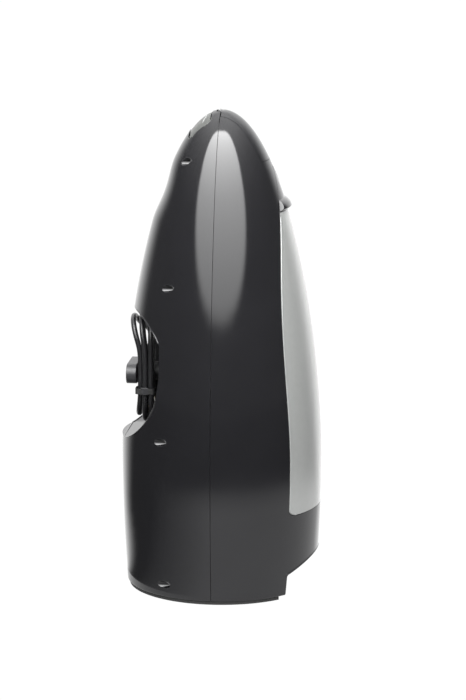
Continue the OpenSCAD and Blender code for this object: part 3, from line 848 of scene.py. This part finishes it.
def make_front_housing():
    extra = [prism("arch_wall", foot_arch_outline(2.2), "x", 54, FAR)] + at_screws("boss", BOSS_R, 0, 13)
    extra += [box("rib", (0, s * (y + 10) - 10, z - 1.5), (12, s * (y + 10) + 10, z + 1.5))
              for y, z in SCREWS for s in (-1, 1)]
    front = shell("front_housing_look", SEAM / 2, FAR, extra)
    cut(front, prism("arch", arch_outline(), "x", 20, FAR))
    cut(front, prism("foot_arch", foot_arch_outline(), "x", 56.2, FAR))
    cut(front, lid_gap(LID_EDGE_Z - GAP), hinge_slot(-5, 3))
    shade_skin(front)
    stand_for(front, "front_housing")
    bead("arch_rim", on_skin(arch_outline(-0.15), 0.30), 0.45, "housing", closed=True)
    foot = [p for p in foot_arch_outline(0.9) if p[1] > SHELL_Z + 1.6]
    bead("foot_arch_rim", on_skin(foot, 1.15), 1.5, "housing")


# ---- drawer front ----
def drawer_skin(name, low, high):
    """The drawer's front between two heights, inside the arch."""
    solid = skin_wall(name)
    keep(solid, prism("arch", arch_outline(GAP), "x", 20, FAR))
    keep(solid, box("span", (20, -FAR, low), (FAR, FAR, high)))
    return shade_skin(solid)


def make_front_panel():
    stand_for(drawer_skin("front_panel_look", 0, PANEL_TOP), "front_panel")
    edge = [p for p in arch_outline(GAP + 0.55) if p[1] < PANEL_TOP - 0.5]
    bead("panel_rim", on_skin(edge, 0.3), 0.8, BODY_OF["front_panel"], "satin_silver")


# Side view of the pull, (radius, z): a lip that curls up and out from the skin
LIP_PROFILE = [(49, 341), (53.2, 339.6), (56.0, 338.0), (58.3, 335.8), (59.6, 333.6), (59.8, 332.5),
               (59.0, 331.5), (56.5, 330.6), (52, 330), (49, 330)]
LIP_REACH, LIP_STEPS = 58, 160


def make_handle_lip():
    """Sweeps the profile round the axis and lets it sink into the skin at both ends."""
    n = len(LIP_PROFILE)
    verts, faces = [], []
    for k in range(LIP_STEPS + 1):
        u = -1 + 2 * k / LIP_STEPS
        angle = math.asin(BEAK_W / LIP_REACH) * u
        taper = max(1 - abs(u) ** 6, 0) ** 0.5
        for r, z in LIP_PROFILE:
            flat = min(r, float(skin_r(z)) - 1.5)
            reach = flat + (r - flat) * taper
            verts.append((reach * math.cos(angle), reach * math.sin(angle), z))
    for k in range(LIP_STEPS):
        for i in range(n):
            j = (i + 1) % n
            faces.append((k * n + i, (k + 1) * n + i, (k + 1) * n + j, k * n + j))
    faces.append(tuple(range(n)))
    faces.append(tuple(LIP_STEPS * n + i for i in range(n - 1, -1, -1)))
    lip = new_object("handle_lip", verts, faces)
    keep(lip, prism("arch", arch_outline(GAP), "x", 20, FAR))
    add_to(shade(lip, 40), BODY_OF["front_handle"], SLOT_OF["front_handle"])


def make_front_handle():
    stand_for(drawer_skin("front_handle_look", PANEL_TOP, BODY_H), "front_handle")
    make_handle_lip()


# ---- lid and rocker ----
def make_feed_lid():
    solid = skin_wall("feed_lid_look")
    keep(solid, prism("plan", lid_outline(), "z", LID_EDGE_Z, TOP))
    cut(solid, box("knuckle_gap", (-8, -2.5, 405), (HINGE[0] + 2.3, 2.5, 420)))
    shade_skin(solid)
    stand_for(solid, "feed_lid")
    for s, side in ((-1, "left"), (1, "right")):
        low, high = s * LID_KNUCKLE_Y - LID_KNUCKLE_HALF, s * LID_KNUCKLE_Y + LID_KNUCKLE_HALF
        knuckle = prism("lid_knuckle_" + side, circle(*HINGE, KNUCKLE_R), "y", low, high)
        fuse(knuckle, box("arm", (HINGE[0], low, HINGE[1] - 0.9), (2, high, HINGE[1] + 0.9)))
        add_to(shade(knuckle), "lid", "gloss_black")


def skin_top(x, y):
    """Height of the skin over a point of the plan."""
    r = math.hypot(x, y)
    rise = (1 - (r / BELLY_R) ** 2) ** (1 / NOSE_POWER)
    return BELLY_Z + (BODY_H - BELLY_Z) * rise


def drape(plan, sink=0.0):
    """Lays (x, y) points on the top of the skin, sunk along its normal."""
    points = []
    for x, y in plan:
        p = np.array([[x, y, skin_top(x, y)]])
        points.append(tuple((p - skin_normals(p) * sink)[0]))
    return points


# Depth of the rocker's outer and inner faces under the skin
ROCKER_SINK, ROCKER_INNER = 0.8, 3.4
# The rocker's short mark: its centre in plan, and from there to its end
MARK_X, MARK_Y, MARK_DX, MARK_DY = -14, -8.5, 1.6, 3.78


def make_rocker_ears():
    x, z = ROCKER_AXIS
    for s, side in ((-1, "left"), (1, "right")):
        low, high = s * 12 - 1, s * 12 + 1
        ear = box("rocker_ear_" + side, (x - 2.8, low, z - 3.4), (x + 2.8, high, 407))
        keep(ear, ogive("inside", 2.2))
        cut(ear, prism("pin_hole", circle(x, z, 1.5), "y", low - 2, high + 2))
        add_to(shade(ear), "rocker", "smoke_grey")


def make_power_rocker():
    outer = skin_wall("power_rocker_look", ROCKER_SINK, ROCKER_INNER)
    keep(outer, prism("plan", rocker_outline(), "z", 380, TOP))
    shade_skin(outer, ROCKER_SINK)
    make_rocker_ears()
    stand_for(outer, "power_rocker")
    bead("rocker_rim", drape(rocker_outline(ROCKER_GAP + 0.3), 0.2), 0.3, "housing", "smoke_grey",
         closed=True)
    mark = [(MARK_X + MARK_DX * c, MARK_Y + MARK_DY * c) for c in np.cos(np.linspace(0, math.pi, 24))]
    bead("rocker_mark", drape(mark, 0.85), 0.35, "rocker", "satin_silver")


def make_cord_hook():
    """Post with a soft-edged T-shaped cap that holds the wound lead."""
    post = prism("cord_hook_look", circle(0, HOOK_Z, 8), "x", -73, BAY_BACK)
    cap = prism("cap", rounded(0, HOOK_Z, 46, 17, 8.4), "x", -80.5, -72)
    fuse(post, cap)
    stand_for(round_edges(post, 2.4, 5), "cord_hook")


make_rear_housing()
make_bay_rims()
make_hinge_knuckle()
make_well_rims()
make_seam_lip()
make_front_housing()
make_cord_hook()
make_front_panel()
make_front_handle()
make_feed_lid()
make_power_rocker()
